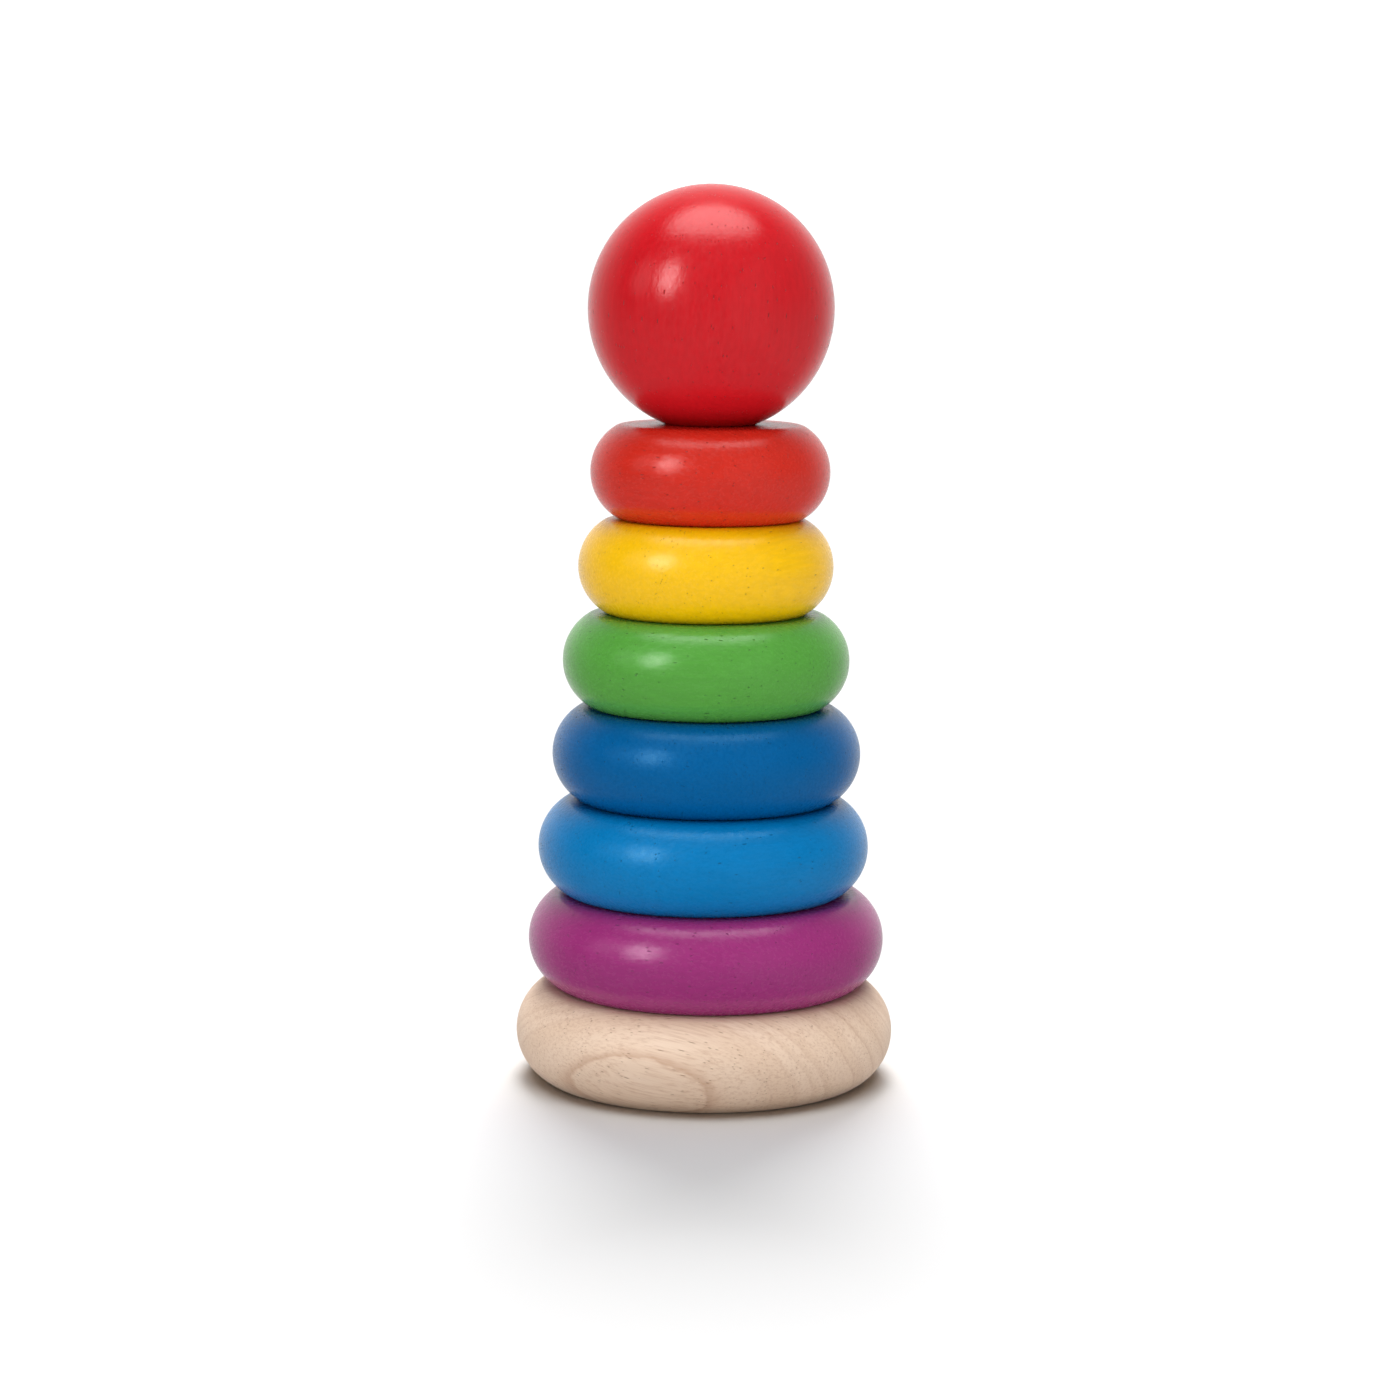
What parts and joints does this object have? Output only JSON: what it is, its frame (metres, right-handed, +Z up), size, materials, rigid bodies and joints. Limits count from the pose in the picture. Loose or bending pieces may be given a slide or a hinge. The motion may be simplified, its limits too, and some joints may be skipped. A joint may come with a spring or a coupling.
{
  "type": "stacking ring toy",
  "caption": "Wooden stacking toy: graded crowned rings and a ball that lift off a round peg standing in a turned base.",
  "frame": {"origin": "centre of the base's underside, on the surface the toy stands on", "axes": "+Z up along the peg; the toy is turned, so +X and +Y are level and otherwise free (the rings' rest play is taken up along X)"},
  "size_m": [0.089, 0.089, 0.2091],
  "materials": {
    "natural_wood": "satin",
    "red_paint": "satin",
    "orange_paint": "satin",
    "yellow_paint": "satin",
    "green_paint": "satin",
    "dark_blue_paint": "satin",
    "light_blue_paint": "satin",
    "purple_paint": "satin"
  },
  "bodies": {
    "base": {"base": "natural_wood", "center_peg": "natural_wood"},
    "purple_ring": {"purple_ring": "purple_paint"},
    "light_blue_ring": {"light_blue_ring": "light_blue_paint"},
    "dark_blue_ring": {"dark_blue_ring": "dark_blue_paint"},
    "green_ring": {"green_ring": "green_paint"},
    "yellow_ring": {"yellow_ring": "yellow_paint"},
    "orange_ring": {"orange_ring": "orange_paint"},
    "red_ball": {"red_ball": "red_paint"}
  },
  "joints": [
    {"name": "purple_ring_lift", "type": "slide", "parent": "base", "child": "purple_ring", "axis": [0, 0, 1], "range_m": [0, 0.168]},
    {"name": "light_blue_ring_lift", "type": "slide", "parent": "purple_ring", "child": "light_blue_ring", "axis": [0, 0, 1], "range_m": [0, 0.146]},
    {"name": "dark_blue_ring_lift", "type": "slide", "parent": "light_blue_ring", "child": "dark_blue_ring", "axis": [0, 0, 1], "range_m": [0, 0.124]},
    {"name": "green_ring_lift", "type": "slide", "parent": "dark_blue_ring", "child": "green_ring", "axis": [0, 0, 1], "range_m": [0, 0.102]},
    {"name": "yellow_ring_lift", "type": "slide", "parent": "green_ring", "child": "yellow_ring", "axis": [0, 0, 1], "range_m": [0, 0.08]},
    {"name": "orange_ring_lift", "type": "slide", "parent": "yellow_ring", "child": "orange_ring", "axis": [0, 0, 1], "range_m": [0, 0.058]},
    {"name": "red_ball_lift", "type": "slide", "parent": "orange_ring", "child": "red_ball", "axis": [0, 0, 1], "range_m": [0, 0.036]}
  ]
}
